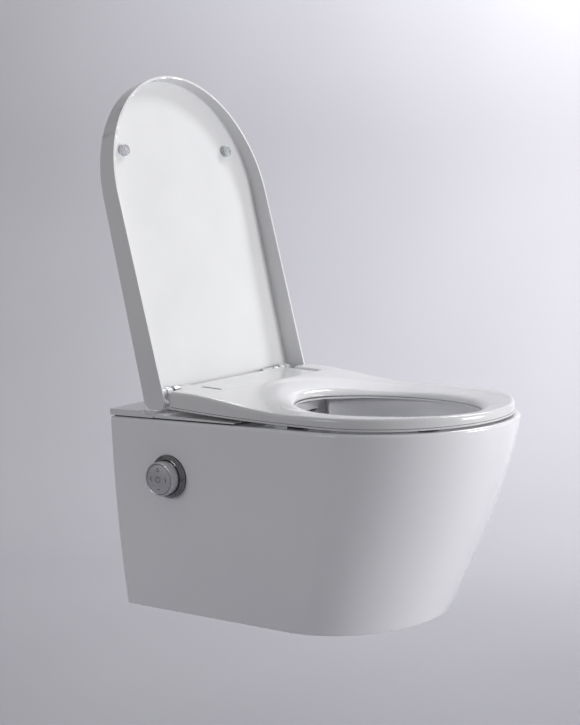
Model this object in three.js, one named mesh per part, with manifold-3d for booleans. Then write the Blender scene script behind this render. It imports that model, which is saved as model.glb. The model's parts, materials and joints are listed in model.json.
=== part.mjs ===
// Wall-hung shower toilet with an electric bidet seat. Millimetres, +Z up, the nose points to -Y.
// The wall is the plane Y = 0, and Z = 0 is the height of the two wall fixings, midway between them.
import * as THREE from "three";
import { mergeVertices } from "three/addons/utils/BufferGeometryUtils.js";
import Module from "manifold-3d";

const wasm = await Module();
wasm.setup();

// ---------------------------------------------------------------- driving dimensions
const WIDTH = 380; // over the ceramic
const LENGTH = 590; // wall to nose
const HALF = WIDTH / 2;
const PAN_TOP = 100; // top of the ceramic rim
const PAN_BOTTOM = -204;
const PAN_HEIGHT = PAN_TOP - PAN_BOTTOM;
const PAN_WALL = 10;
const REAR_WEB = 12; // thickness of the ceramic that lies on the wall
const COVER_TOP = PAN_TOP + 12; // top of the rear cover, the level that the seat heights are counted from
const COVER_LENGTH = 88;
const SEAM = 2.3; // shadow gap between ceramic and plastic, filled by the gasket

const FIXING_SPACING = 180; // between the two wall fixings
const FIXING_HOLE_R = 11;
const INLET = { z: 35, r: 22, wall: 8 }; // flush inlet
const OUTLET = { z: -100, r: 41, wall: 8 }; // waste outlet, 135 mm under the inlet

const HINGE = { y: -84, z: COVER_TOP + 24 }; // axis of lid and seat
const PIN_R = 4;
const LUG_R = 8;
const LID_LEAN = 11.4; // degrees behind upright when open
const LID = {
  half: 188.3,
  straight: 308, // from the hinge axis to where the round nose starts
  nose: 502.9, // from the hinge axis to the tip
  back: 14.1, // outer surface above the hinge axis, lid closed
  plate: 3.5,
  flange: 3.5,
  rearDepth: 39.7, // flange depth at the hinge axis
  noseDepth: 24.4,
  heel: 17, // rounding of the flange's foot at the back
  toe: 29.5, // and its reach from the hinge axis at the front
  room: 30.2, // scooped out of the covers under it
};
const SEAT = {
  half: 183.2,
  straight: 391,
  nose: 581,
  rear: 112,
  rearR: 36.5, // hollow of the arms' rear ends, round the hinge axis
  crest: 118, // where the top starts to fall
  shell: 3,
  floor: 2.6,
};
const HOLE = { y: -388, halfWidth: 110, halfLength: 150 };
const PANEL = { half: 137.5, front: 170, rear: 95, wall: 2.6 }; // fixed housing between the seat arms
const NOTCH = { half: 140, front: 171.5 }; // room for it in the seat
const NOZZLE_BOX = { half: 93, front: 214.5, back: 166, bottom: 52, top: 101.5, wall: 2.6 };
const WAND = { r: 8.5, length: 96, tilt: 30, tipY: -198, tipZ: 75 };
const KNOB = { y: -115, z: 14, wall: -187.6, seat: 34, r: 26, face: 23, plate: 33, out: 27.4 };
const SHUTTER = { low: 52.6, high: 88.4, y: -213.2, pin: 86.6 };
const RACK = { pitch: Math.PI * 1.2, teeth: 24, start: 12, line: 10.2 };
const PINION = { r: 7.2, teeth: 12, at: 78 };
const FAN = { x: 84, y: -112, z: 52, r: 24 };
const GAP = 0.3; // between pieces that touch

// ---------------------------------------------------------------- shape helpers
/** A closed BufferGeometry as a manifold solid. */
function solid(geometry) {
  const bare = geometry.index ? geometry.toNonIndexed() : geometry.clone();
  bare.deleteAttribute("normal");
  bare.deleteAttribute("uv");
  const merged = mergeVertices(bare, 1e-4);
  return new wasm.Manifold(
    new wasm.Mesh({
      numProp: 3,
      vertProperties: new Float32Array(merged.attributes.position.array),
      triVerts: new Uint32Array(merged.index.array),
    }),
  );
}

/** A manifold solid as a BufferGeometry for a THREE.Mesh. */
function geometryOf(made) {
  const m = made.simplify(0.01).getMesh();
  const points = new Float32Array(m.numVert * 3);
  for (let i = 0; i < m.numVert; i++)
    points.set(m.vertProperties.subarray(i * m.numProp, i * m.numProp + 3), i * 3);
  const geometry = new THREE.BufferGeometry();
  geometry.setAttribute("position", new THREE.BufferAttribute(points, 3));
  geometry.setIndex(new THREE.BufferAttribute(new Uint32Array(m.triVerts), 1));
  geometry.computeVertexNormals();
  return geometry;
}

const join = (...solids) => solids.reduce((a, b) => a.add(b));
const cut = (body, ...tools) => tools.reduce((a, b) => a.subtract(b), body);

/** A box from its two corners. */
function block([x0, x1], [y0, y1], [z0, z1]) {
  const box = new THREE.BoxGeometry(x1 - x0, y1 - y0, z1 - z0);
  return solid(box.translate((x0 + x1) / 2, (y0 + y1) / 2, (z0 + z1) / 2));
}

/** A cylinder from point a to point b. */
function rod(a, b, r, sides = 24, r2 = r) {
  const from = new THREE.Vector3(...a);
  const way = new THREE.Vector3(...b).sub(from);
  const body = new THREE.CylinderGeometry(r2, r, way.length(), sides);
  body.translate(0, way.length() / 2, 0);
  body.applyQuaternion(
    new THREE.Quaternion().setFromUnitVectors(new THREE.Vector3(0, 1, 0), way.normalize()),
  );
  return solid(body.translate(...a));
}

/** An outline of [x, y] pairs raised from z0 to z1. */
function prism(outline, z0, z1, holes = []) {
  const shape = new THREE.Shape(outline.map(([x, y]) => new THREE.Vector2(x, y)));
  for (const hole of holes) shape.holes.push(new THREE.Path(hole.map(([x, y]) => new THREE.Vector2(x, y))));
  const body = new THREE.ExtrudeGeometry(shape, { depth: z1 - z0, bevelEnabled: false });
  return solid(body.translate(0, 0, z0));
}

/** The outline of [y, z] pairs made into a plate from x0 to x1. */
function sidePlate(outline, x0, x1) {
  const shape = new THREE.Shape(outline.map(([y, z]) => new THREE.Vector2(y, z)));
  const body = new THREE.ExtrudeGeometry(shape, { depth: x1 - x0, bevelEnabled: false });
  body.applyMatrix4(new THREE.Matrix4().makeBasis(
    new THREE.Vector3(0, 1, 0), new THREE.Vector3(0, 0, 1), new THREE.Vector3(1, 0, 0)));
  return solid(body.translate(x0, 0, 0));
}

/** D-shaped outline: straight sides from `rear`, then a half ellipse to the nose. Y runs to -nose. */
function dOutline({ half, straight, nose, rear = 0 }, steps = 24) {
  const points = [[-half, -rear], [-half, -(rear + straight) / 2]];
  for (let i = 0; i <= steps; i++) {
    const a = (Math.PI * i) / steps;
    points.push([-half * Math.cos(a), -straight - (nose - straight) * Math.sin(a)]);
  }
  points.push([half, -(rear + straight) / 2], [half, -rear]);
  return points;
}

/** A closed oval of [x, y] points. */
function oval(cy, halfWidth, halfLength, steps = 32) {
  return Array.from({ length: steps }, (_, i) => {
    const a = (2 * Math.PI * i) / steps;
    return [halfWidth * Math.cos(a), cy + halfLength * Math.sin(a)];
  });
}

/** A solid through rings of [x, y] points, one at each height of `levels`, lowest first. */
function loft(ringAt, levels) {
  const rings = levels.map((z) => ringAt(z).map(([x, y]) => new THREE.Vector3(x, y, z)));
  const n = rings[0].length;
  const points = rings.flat();
  const faces = [];
  for (let k = 0; k + 1 < rings.length; k++)
    for (let i = 0; i < n; i++) {
      const [a, b] = [k * n + i, k * n + ((i + 1) % n)];
      faces.push(a, b, b + n, a, b + n, a + n);
    }
  for (const [ring, flip] of [[0, true], [rings.length - 1, false]]) {
    const centre = rings[ring].reduce((s, p) => s.add(p), new THREE.Vector3()).divideScalar(n);
    const c = points.push(centre) - 1;
    for (let i = 0; i < n; i++) {
      const [a, b] = [ring * n + i, ring * n + ((i + 1) % n)];
      faces.push(...(flip ? [c, b, a] : [c, a, b]));
    }
  }
  return closed(points, faces);
}

/** A solid from points and faces, turned inside out if its faces point in. */
function closed(points, faces) {
  const geometry = new THREE.BufferGeometry().setFromPoints(points);
  geometry.setIndex(faces);
  const made = solid(geometry);
  if (made.volume() > 0) return made;
  for (let i = 0; i < faces.length; i += 3) [faces[i + 1], faces[i + 2]] = [faces[i + 2], faces[i + 1]];
  geometry.setIndex(faces);
  return solid(geometry);
}

/** A slab between two height functions of (x, y), on a grid. */
function terrain([x0, x1, nx], [y0, y1, ny], top, bottom) {
  const points = [];
  const faces = [];
  const at = (layer, i, j) => (layer * (ny + 1) + j) * (nx + 1) + i;
  for (const height of [bottom, top])
    for (let j = 0; j <= ny; j++)
      for (let i = 0; i <= nx; i++) {
        const [x, y] = [x0 + ((x1 - x0) * i) / nx, y0 + ((y1 - y0) * j) / ny];
        points.push(new THREE.Vector3(x, y, height(x, y)));
      }
  const quad = (a, b, c, d) => faces.push(a, b, c, a, c, d);
  for (let j = 0; j < ny; j++)
    for (let i = 0; i < nx; i++) {
      quad(at(1, i, j), at(1, i + 1, j), at(1, i + 1, j + 1), at(1, i, j + 1));
      quad(at(0, i, j), at(0, i, j + 1), at(0, i + 1, j + 1), at(0, i + 1, j));
    }
  for (let i = 0; i < nx; i++) {
    quad(at(0, i, 0), at(0, i + 1, 0), at(1, i + 1, 0), at(1, i, 0));
    quad(at(0, i + 1, ny), at(0, i, ny), at(1, i, ny), at(1, i + 1, ny));
  }
  for (let j = 0; j < ny; j++) {
    quad(at(0, 0, j + 1), at(0, 0, j), at(1, 0, j), at(1, 0, j + 1));
    quad(at(0, nx, j), at(0, nx, j + 1), at(1, nx, j + 1), at(1, nx, j));
  }
  return closed(points, faces);
}

/** A round tube solid along a curve through points in the plane X = x. */
function pipe(x, path, r, steps = 14, sides = 16) {
  const curve = new THREE.CatmullRomCurve3(path.map(([y, z]) => new THREE.Vector3(x, y, z)));
  const section = new THREE.Shape(
    Array.from({ length: sides }, (_, i) => {
      const a = (2 * Math.PI * i) / sides;
      return new THREE.Vector2(r * Math.cos(a), r * Math.sin(a));
    }),
  );
  return solid(new THREE.ExtrudeGeometry(section, { steps, extrudePath: curve, bevelEnabled: false }));
}

// ---------------------------------------------------------------- materials
const material = (color, roughness, metalness = 0) =>
  new THREE.MeshStandardMaterial({ color, roughness, metalness });
const LOOK = {
  glaze: material(0xeeeef0, 0.08),
  gloss: material(0xf0f0f2, 0.15),
  matte: material(0xd8d8da, 0.5),
  dark: material(0x26262a, 0.25),
  gasket: material(0x2c2c2e, 0.8),
  silicone: material(0xd9dbdc, 0.35),
  chrome: material(0xc8c8cc, 0.08, 1),
  satin: material(0xa9aaad, 0.35, 1),
  steel: material(0xb4b4b8, 0.3, 1),
  brass: material(0xb8964f, 0.3, 1),
  board: material(0x1f5b3a, 0.5),
};

const part = new THREE.Group();

/** Adds a named mesh to a group. */
function add(name, made, look, group = part) {
  const mesh = new THREE.Mesh(geometryOf(made), look);
  mesh.name = name;
  group.add(mesh);
  return mesh;
}

// ---------------------------------------------------------------- ceramic pan
/** Outer half width, straight length and nose of the pan at a height: full at the rim, drawn in below. */
function panAt(z, inset = 0, rear = 0) {
  const t = Math.min(1, Math.max(0, (PAN_TOP - z) / PAN_HEIGHT));
  return {
    half: HALF - 18.5 * t ** 2.2 - inset,
    straight: 391 - 80 * t ** 1.3,
    nose: LENGTH - 121.6 * t ** 1.29 - inset,
    rear,
  };
}

/** Inside of the bowl at a height: an oval that narrows and runs back to the sump. */
const BOWL = [
  // z, half width, rear y, front y
  [PAN_TOP + 2, 150, -213, -556],
  [60, 146, -212, -550],
  [0, 122, -206, -512],
  [-60, 90, -198, -440],
  [-110, 62, -190, -352],
  [-140, 44, -186, -290],
  [-150, 32, -192, -272],
];
function bowlAt(z, grow = 0) {
  let k = BOWL.findIndex((row, i) => i + 1 < BOWL.length && z <= row[0] && z >= BOWL[i + 1][0]);
  if (k < 0) k = z > BOWL[0][0] ? 0 : BOWL.length - 2;
  const t = (BOWL[k][0] - z) / (BOWL[k][0] - BOWL[k + 1][0]);
  const [half, rear, front] = [1, 2, 3].map((c) => BOWL[k][c] + (BOWL[k + 1][c] - BOWL[k][c]) * t);
  return oval((rear + front) / 2, half + grow, (rear - front) / 2 + grow, 36);
}

/** A point on the knob's axis, `out` mm out from the ceramic it is mounted on. */
const onKnob = (out) => [KNOB.wall - out, KNOB.y, KNOB.z];

function ceramicPan() {
  const edge = 4; // rounding of the rim's outer edge
  const levels = [PAN_BOTTOM, -170, -120, -60, 0, 50, PAN_TOP - edge, PAN_TOP];
  const skin = loft((z) => dOutline(panAt(z, z === PAN_TOP ? edge * 0.4 : 0)), levels);
  const innerLevels = [PAN_BOTTOM + PAN_WALL, -150, -90, -20, 40, PAN_TOP - 14];
  const inside = loft((z) => dOutline(panAt(z, PAN_WALL, REAR_WEB)), innerLevels);
  const bowlLevels = BOWL.map((row) => row[0]).reverse();
  const bowl = loft((z) => bowlAt(z), bowlLevels);
  const bowlWall = loft((z) => bowlAt(Math.max(z, -150), 8.5), [-159, ...bowlLevels.slice(1)]);

  const trap = [[-235, -122], [-170, -118], [-130, -72], [-92, -66], [-52, -92], [-20, OUTLET.z]];
  const trapOut = [...trap, [-REAR_WEB / 2, OUTLET.z]];
  const trapIn = [...trap, [6, OUTLET.z]];
  const bosses = [-1, 1].map((s) =>
    rod([(s * FIXING_SPACING) / 2, -2, 0], [(s * FIXING_SPACING) / 2, -40, 0], 20));
  const bossHoles = [-1, 1].map((s) =>
    rod([(s * FIXING_SPACING) / 2, 6, 0], [(s * FIXING_SPACING) / 2, -46, 0], FIXING_HOLE_R));
  const inletWall = rod([0, -2, INLET.z], [0, -208, INLET.z], INLET.r + INLET.wall);
  const inletBore = rod([0, 6, INLET.z], [0, -225, INLET.z], INLET.r);
  const ledge = block([-105, 105], [-224, -155], [30, NOZZLE_BOX.bottom - 1]);

  const kept = join(bowlWall, pipe(0, trapOut, OUTLET.r - 2 + OUTLET.wall), inletWall, ...bosses, ledge);
  const hollow = cut(inside, kept);
  const deckOpening = block([-158, 158], [-160, -24], [60, PAN_TOP + 6]);
  const nozzleOpening = block([-96, 96], [-235, -150], [NOZZLE_BOX.bottom - 1, PAN_TOP + 6]);
  const knobHole = join(
    rod(onKnob(20), onKnob(-30), 12),
    rod(onKnob(20), onKnob(0), KNOB.seat, 40),
    rod(onKnob(-7.4), onKnob(-30), 28),
  );
  return cut(
    skin, hollow, bowl, deckOpening, nozzleOpening, pipe(0, trapIn, OUTLET.r - 2),
    inletBore, ...bossHoles, knobHole,
  );
}
add("ceramic_pan", ceramicPan(), LOOK.glaze);

// ---------------------------------------------------------------- wall fixings and pipe seals
for (const [side, s] of [["left", -1], ["right", 1]]) {
  const x = (s * FIXING_SPACING) / 2;
  const sleeve = cut(
    join(rod([x, -2, 0], [x, -40 - GAP, 0], FIXING_HOLE_R - GAP), rod([x, -40 - GAP, 0], [x, -43, 0], 17)),
    rod([x, 1, 0], [x, -50, 0], 6.3),
  );
  add(`fixing_sleeve_${side}`, sleeve, LOOK.matte);
  const nut = cut(rod([x, -43 - GAP, 0], [x, -53, 0], 10.5, 6), rod([x, -40, 0], [x, -60, 0], 6.3));
  add(`fixing_nut_${side}`, nut, LOOK.steel);
}
/** A lip seal that sits inside a pipe mouth at the wall. */
function pipeSeal(z, r) {
  const body = rod([0, -3, z], [0, -20, z], r - GAP);
  return cut(body, rod([0, 1, z], [0, -12, z], r - 4), rod([0, 1, z], [0, -24, z], r - 7));
}
add("inlet_seal", pipeSeal(INLET.z, INLET.r), LOOK.gasket);
add("outlet_seal", pipeSeal(OUTLET.z, OUTLET.r - 3.2), LOOK.gasket);

// ---------------------------------------------------------------- deck: gasket, tray, covers
const deckLow = PAN_TOP + GAP / 2;
const deckHigh = PAN_TOP + SEAM - GAP / 2;
add("deck_gasket", cut(
  block([-184, 184], [-236, -5], [deckLow, deckHigh]),
  block([-172, 172], [-240, -15], [PAN_TOP - 1, PAN_TOP + 4]),
), LOOK.gasket);

/** Plastic tray that hangs in the deck opening: a shallow middle over the inlet and a deep well each side. */
function deckTray() {
  const wall = 2.2;
  const wells = [[-146, -54, 24], [54, 146, 24], [-56, 56, 72]];
  const outer = wells.map(([a, b, low]) => block([a, b], [-152, -28], [low, PAN_TOP + 1.6]));
  const rim = block([-166, 166], [-158 - 5, -17], [PAN_TOP + GAP, PAN_TOP + 1.6]);
  const inner = wells.map(([a, b, low]) =>
    block([a + wall, b - wall], [-152 + wall, -28 - wall], [low + wall, PAN_TOP + 6]));
  const bridge = block([-60, 60], [-152 + wall, -28 - wall], [72 + wall, PAN_TOP + 6]);
  const wandSlot = block([-20, 20], [-170, -145], [84, PAN_TOP + 6]);
  return cut(join(rim, ...outer), ...inner, bridge, wandSlot);
}
add("deck_tray", deckTray(), LOOK.matte);

/** Scoops round the hinge axis for the lid's feet, one each side. */
const footRoom = () => [-1, 1].map((s) =>
  rod([s * 183, HINGE.y, HINGE.z], [s * 195, HINGE.y, HINGE.z], LID.room, 48));

/** Slab behind the lid: a shell open below, solid at its front corners. */
const coverLow = PAN_TOP + SEAM;
add("rear_cover", cut(
  block([-HALF + 0.4, HALF - 0.4], [-COVER_LENGTH, -0.6], [coverLow, COVER_TOP]),
  block([-HALF + 3.4, HALF - 3.4], [-COVER_LENGTH + 34, -3.6], [coverLow - 1, COVER_TOP - 3]),
  block([-HALF + 12, HALF - 12], [-COVER_LENGTH + 3, -COVER_LENGTH + 35], [coverLow - 1, COVER_TOP - 3]),
  ...footRoom(),
), LOOK.gloss);

/** Thin plate under the seat's rear: thick at the cover, fading out along the sides. */
const PLATE_HIGH = 5.4;
const PLATE_FALL = 3.6;
const plateTop = (y) => coverLow + PLATE_HIGH - PLATE_FALL * Math.min(1, Math.max(0, (-y - 90) / 152));
function basePlate() {
  const outline = [
    [-187, -COVER_LENGTH - 0.8], [-187, -242], [-160, -242], [-152, -176],
    [152, -176], [160, -242], [187, -242], [187, -COVER_LENGTH - 0.8],
  ];
  const opening = [[-60, -96], [60, -96], [60, -172], [-60, -172]];
  const slab = terrain([-190, 190, 1], [-250, -80, 6], (x, y) => plateTop(y), () => coverLow);
  const wandNotch = block([-15, 15], [-180, -165], [coverLow - 2, coverLow + 12]);
  const plate = prism(outline, coverLow - 1, coverLow + 12, [opening]).intersect(slab);
  return cut(plate, wandNotch, ...footRoom());
}
add("base_plate", basePlate(), LOOK.gloss);

// ---------------------------------------------------------------- hinge housing between the seat arms
const panelTop = (x, y) => COVER_TOP + 26 + (4 * (y + PANEL.front)) / (PANEL.front - PANEL.rear);
function hingeHousing() {
  const low = coverLow + PLATE_HIGH + GAP;
  const body = block([-PANEL.half, PANEL.half], [-PANEL.front, -PANEL.rear], [low, COVER_TOP + 40])
    .intersect(terrain([-150, 150, 1], [-180, -90, 1], panelTop, () => low));
  const wall = PANEL.wall;
  const inner = block(
    [-PANEL.half + wall, PANEL.half - wall],
    [-PANEL.front + wall, -PANEL.rear - wall],
    [low - 2, COVER_TOP + 40],
  ).intersect(terrain([-150, 150, 1], [-180, -90, 1], (x, y) => panelTop(x, y) - wall, () => low - 3));
  const window = block([-109.4, -100.6], [-156.4, -117.6], [COVER_TOP, COVER_TOP + 50]);
  const wandNotch = block([-15, 15], [-180, -160], [low - 1, low + 6]);
  return cut(body, inner, window, wandNotch);
}
add("hinge_housing", hingeHousing(), LOOK.gloss);
add("indicator_window", block([-109, -101], [-156, -118], [COVER_TOP + 22, COVER_TOP + 40])
  .intersect(terrain([-150, 150, 1], [-180, -90, 1],
    (x, y) => panelTop(x, y) - 0.3, (x, y) => panelTop(x, y) - 2.4)), LOOK.dark);

/** Outline of an ear around the hinge axis that comes from (y0..y1, z0). */
function earOutline(y0, y1, z0, r, steps = 12) {
  const points = [[y0, z0]];
  for (let i = 0; i <= steps; i++) {
    const a = Math.PI - (Math.PI * i) / steps;
    points.push([HINGE.y + r * Math.cos(a), HINGE.z + r * Math.sin(a)]);
  }
  return [...points, [y1, z0]];
}
const hingeBore = (x0, x1, r = PIN_R + 0.25) => rod([x0, HINGE.y, HINGE.z], [x1, HINGE.y, HINGE.z], r, 16);
for (const [side, s] of [["left", -1], ["right", 1]]) {
  const span = (a, b) => (s < 0 ? [-b, -a] : [a, b]);
  const [e0, e1] = span(125, 136);
  const foot = COVER_TOP + GAP;
  const bracket = cut(
    join(
      sidePlate(earOutline(HINGE.y - LUG_R, HINGE.y + LUG_R, foot, LUG_R), e0, e1),
      block(span(112, 137), [HINGE.y - 1, HINGE.y + 22], [foot, foot + 4]),
    ),
    hingeBore(e0 - 2, e1 + 2),
    rod([s * 117, HINGE.y + 15, foot - 1], [s * 117, HINGE.y + 15, foot + 6], 2.2, 12),
  );
  add(`hinge_bracket_${side}`, bracket, LOOK.satin);
  const screw = join(
    rod([s * 117, HINGE.y + 15, foot + 0.4], [s * 117, HINGE.y + 15, foot + 4 + GAP], 1.8, 12),
    rod([s * 117, HINGE.y + 15, foot + 4 + GAP], [s * 117, HINGE.y + 15, foot + 6.6], 4, 12),
  );
  add(`bracket_screw_${side}`, screw, LOOK.steel);
  const pin = rod([s * 94, HINGE.y, HINGE.z], [s * 171, HINGE.y, HINGE.z], PIN_R, 16);
  add(`hinge_pin_${side}`, pin, LOOK.steel);
  const damper = cut(
    rod([s * 96, HINGE.y, HINGE.z], [s * 124.4, HINGE.y, HINGE.z], 6.5, 20),
    hingeBore(s * 90, s * 130, PIN_R + 0.3),
  );
  add(s < 0 ? "seat_damper" : "lid_damper", damper, LOOK.matte);
}

// ---------------------------------------------------------------- lid, built closed and turned open
const lid = new THREE.Group();
lid.position.set(0, HINGE.y, HINGE.z);
lid.rotation.x = -THREE.MathUtils.degToRad(90 + LID_LEAN);
part.add(lid);

const lidDepth = (v) => LID.rearDepth + ((LID.noseDepth - LID.rearDepth) * v) / LID.nose;
const lidLip = (x, y) => LID.back - lidDepth(Math.max(-y, 0));
/** Side view of the flanges behind the axis: round heel, sole level with the floor when open, round toe. */
function footOutline() {
  const lean = THREE.MathUtils.degToRad(LID_LEAN);
  const arc = (cy, cz, r, from, to, steps) => Array.from({ length: steps + 1 }, (_, i) => {
    const a = from + ((to - from) * i) / steps;
    return [cy + r * Math.cos(a), cz + r * Math.sin(a)];
  });
  const heel = arc(5, LID.back - LID.heel, LID.heel, Math.PI / 2, lean, 10);
  const [y, z] = heel.at(-1);
  const toward = y * Math.sin(lean) - z * Math.cos(lean);
  const length = Math.sqrt(toward ** 2 - y ** 2 - z ** 2 + LID.toe ** 2) - toward; // of the sole
  const start = Math.atan2(z - length * Math.cos(lean), y + length * Math.sin(lean));
  const lip = LID.back - LID.rearDepth;
  const toe = arc(0, 0, LID.toe, start, Math.asin(lip / LID.toe), 8);
  return [[-1, LID.back], ...heel, ...toe, [-1, lip]];
}
function lidShell() {
  const outline = (inset, rear) => dOutline(
    { half: LID.half - inset, straight: LID.straight, nose: LID.nose - inset, rear }, 28);
  const reach = 30; // how far the blanks run behind the axis
  const shell = prism(outline(0, -reach), -50, LID.back)
    .intersect(terrain([-200, 200, 1], [-520, reach, 8], () => LID.back, lidLip));
  const room = prism(outline(LID.flange, -reach - 1), -60, LID.back - LID.plate);
  const body = cut(shell, room);
  // Behind the axis the flanges end in feet and the plate wraps round the hinge.
  const tail = block([-200, 200], [0, reach + 2], [-60, 60]).subtract(sidePlate(footOutline(), -201, 201));
  const plateEnd = cut(
    block([-LID.half + 1, LID.half - 1], [0, reach + 2], [-60, 60]),
    rod([-200, 0, 0], [200, 0, 0], LID.back, 40),
  );
  const between = block([-LID.half + LID.flange, LID.half - LID.flange], [0, 40], [-60, 60]);
  const wrap = cut(
    rod([-LID.half + 1, 0, 0], [LID.half - 1, 0, 0], LID.back, 40),
    rod([-200, 0, 0], [200, 0, 0], LID.back - LID.plate, 40),
    block([-200, 200], [-40, 0], [-40, 40]),
    block([-200, 200], [-40, 40], [-40, 2]),
    ...[-1, 1].map((s) => block(s < 0 ? [-158, -121] : [121, 158], [-1, 40], [-40, 40])),
  );
  const lugs = [-1, 1].map((s) => {
    const [a, b] = s < 0 ? [-170, -158] : [158, 170];
    return join(rod([a, 0, 0], [b, 0, 0], LUG_R, 20), block([a, b], [-LUG_R, LUG_R], [0, LID.back - 1]));
  });
  const made = join(cut(body, tail, plateEnd.intersect(between)), wrap, ...lugs);
  return cut(made, ...[-1, 1].map((s) => rod([s * 150, 0, 0], [s * 180, 0, 0], PIN_R + 0.25, 16)));
}
add("lid_shell", lidShell(), LOOK.gloss, lid);

const BUMPER = { x: 128, y: -384, r: 9, height: 8.6 };
for (const [side, s] of [["left", -1], ["right", 1]]) {
  const top = LID.back - LID.plate - GAP;
  const [base, face] = [top, top - BUMPER.height].map((z) => [s * BUMPER.x, BUMPER.y, z]);
  add(`lid_bumper_${side}`, rod(base, face, BUMPER.r, 20, BUMPER.r - 1.5), LOOK.silicone, lid);
}

// ---------------------------------------------------------------- seat
const clamp01 = (t) => Math.min(1, Math.max(0, t));
/** Height of the seat's outer top edge and of its underside, falling in a long curve from rear to nose. */
const seatEdge = (y) => COVER_TOP + 9 + 11.25 * (1 + Math.cos(Math.PI * clamp01((-y - SEAT.crest) / 225)));
const seatUnder = (x, y) => COVER_TOP - 9 + 14 * (1 - clamp01((-y - SEAT.crest) / 463)) ** 3;
/** 0 at the edge of the hole, 1 a ring's width outside it. */
const holeShare = (x, y) =>
  clamp01((Math.hypot(x / HOLE.halfWidth, (y - HOLE.y) / HOLE.halfLength) - 1) / 0.65);
const seatTop = (x, y) => seatEdge(y) - 8.5 * (1 - holeShare(x, y)) ** 2;

/** Seat outline with the housing's notch, and the hole, both drawn in by `inset`. */
function seatPlan(inset) {
  const d = dOutline({
    half: SEAT.half - inset, straight: SEAT.straight, nose: SEAT.nose - inset, rear: SEAT.rear + inset,
  }, 28);
  const [n, f] = [NOTCH.half + inset, NOTCH.front + inset];
  const notch = [[n, -SEAT.rear - inset], [n, -f], [-n, -f], [-n, -SEAT.rear - inset]];
  const hole = oval(HOLE.y, HOLE.halfWidth + inset, HOLE.halfLength + inset, 36);
  return { outline: [...d, ...notch], hole };
}
const seatGrid = (top, bottom, nx = 12, ny = 16) => terrain([-192, 192, nx], [-590, -110, ny], top, bottom);
/** Round space about the hinge axis that the arms' rear ends keep clear of. */
const rearHollow = (r) => rod([-200, HINGE.y, HINGE.z], [200, HINGE.y, HINGE.z], r, 64);
function seatTopShell() {
  const plan = seatPlan(0);
  const room = seatPlan(SEAT.shell);
  const jointLine = (x, y) => seatUnder(x, y) + SEAT.floor + GAP;
  const body = prism(plan.outline, 60, 180, [plan.hole]).intersect(seatGrid(seatTop, jointLine));
  const inner = prism(room.outline, 60, 180, [room.hole])
    .intersect(seatGrid((x, y) => seatTop(x, y) - SEAT.shell, () => 70));
  const lugRoom = [[-155.4, -142.6], [142.6, 155.4]].map((x) => block(x, [-125, -100], [100, 134]));
  return cut(body, cut(inner, rearHollow(SEAT.rearR + SEAT.shell)), rearHollow(SEAT.rearR), ...lugRoom);
}
function seatBottomShell() {
  const plan = seatPlan(0);
  const plate = prism(plan.outline, 60, 180, [plan.hole])
    .intersect(seatGrid((x, y) => seatUnder(x, y) + SEAT.floor, seatUnder, 4, 16));
  const lugs = [-1, 1].map((s) => {
    const [a, b] = s < 0 ? [-155, -143] : [143, 155];
    const outline = earOutline(0, 0, 0, LUG_R).slice(1, -1);
    outline.push([HINGE.y + LUG_R, HINGE.z - 6], [-112, COVER_TOP + 4], [-124, COVER_TOP + 4.8],
      [-124, COVER_TOP + 20], [-108, HINGE.z - 2]);
    return cut(sidePlate(outline, a, b), hingeBore(a - 2, b + 2));
  });
  return join(cut(plate, rearHollow(SEAT.rearR)), ...lugs);
}
add("seat_top_shell", seatTopShell(), LOOK.gloss);
add("seat_bottom_shell", seatBottomShell(), LOOK.gloss);

/** Heating foil under the top shell: a U round the hole. */
function seatHeater() {
  const band = oval(HOLE.y - 2, HOLE.halfWidth + 44, HOLE.halfLength + 26, 32);
  const open = oval(HOLE.y, HOLE.halfWidth + 14, HOLE.halfLength + 10, 32);
  return prism(band, 60, 180, [open])
    .intersect(block([-180, 180], [-590, -262], [60, 180]))
    .intersect(seatGrid((x, y) => seatUnder(x, y) + 5, (x, y) => seatUnder(x, y) + 3.8, 8, 10));
}
add("seat_heater", seatHeater(), LOOK.brass);
for (const [name, x, y] of [
  ["front_left", -105, -520],
  ["front_right", 105, -520],
  ["middle_left", -164, -340],
  ["middle_right", 164, -340],
]) {
  const under = seatUnder(x, y) - GAP - 0.4;
  add(`seat_bumper_${name}`, block([x - 9, x + 9], [y - 12, y + 12], [PAN_TOP + 0.2, under]), LOOK.gasket);
}

// ---------------------------------------------------------------- nozzle unit
const tilt = THREE.MathUtils.degToRad(WAND.tilt);
function nozzleBox() {
  const { half, front, back, bottom, top, wall } = NOZZLE_BOX;
  const outer = block([-half, half], [-front, -back], [bottom, top]);
  const room = block([-half + wall, half - wall], [-front + wall, -back + 5], [bottom + wall, top - wall]);
  const slot = block([-13, 13], [-front - 2, -front + 10], [bottom - 1, SHUTTER.high + 0.6]);
  const rearSlot = block([-14, 14], [-192, -150], [74, 110]);
  const airOutlet = block([34, 72], [-front - 2, -front + 10], [70, 88]);
  const hingeHoles = rod([-15, SHUTTER.y, SHUTTER.pin], [15, SHUTTER.y, SHUTTER.pin], 1.15, 12);
  return cut(outer, room, slot, rearSlot, airOutlet, hingeHoles);
}
add("nozzle_box", nozzleBox(), LOOK.gloss);
const vanes = [0, 1, 2].map((i) => block([34.5, 71.5], [-213.5, -209], [72.6 + 5 * i, 74 + 5 * i]));
add("air_grille", join(
  ...vanes, block([34.4, 36], [-213.5, -209], [70.4, 87.6]), block([70, 71.6], [-213.5, -209], [70.4, 87.6]),
), LOOK.matte);

add("nozzle_shutter", join(
  block([-12.6, 12.6], [-214.3, -212.3], [SHUTTER.low, SHUTTER.high]),
  rod([-14.5, SHUTTER.y, SHUTTER.pin], [14.5, SHUTTER.y, SHUTTER.pin], 0.9, 12),
), LOOK.gloss);

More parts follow.
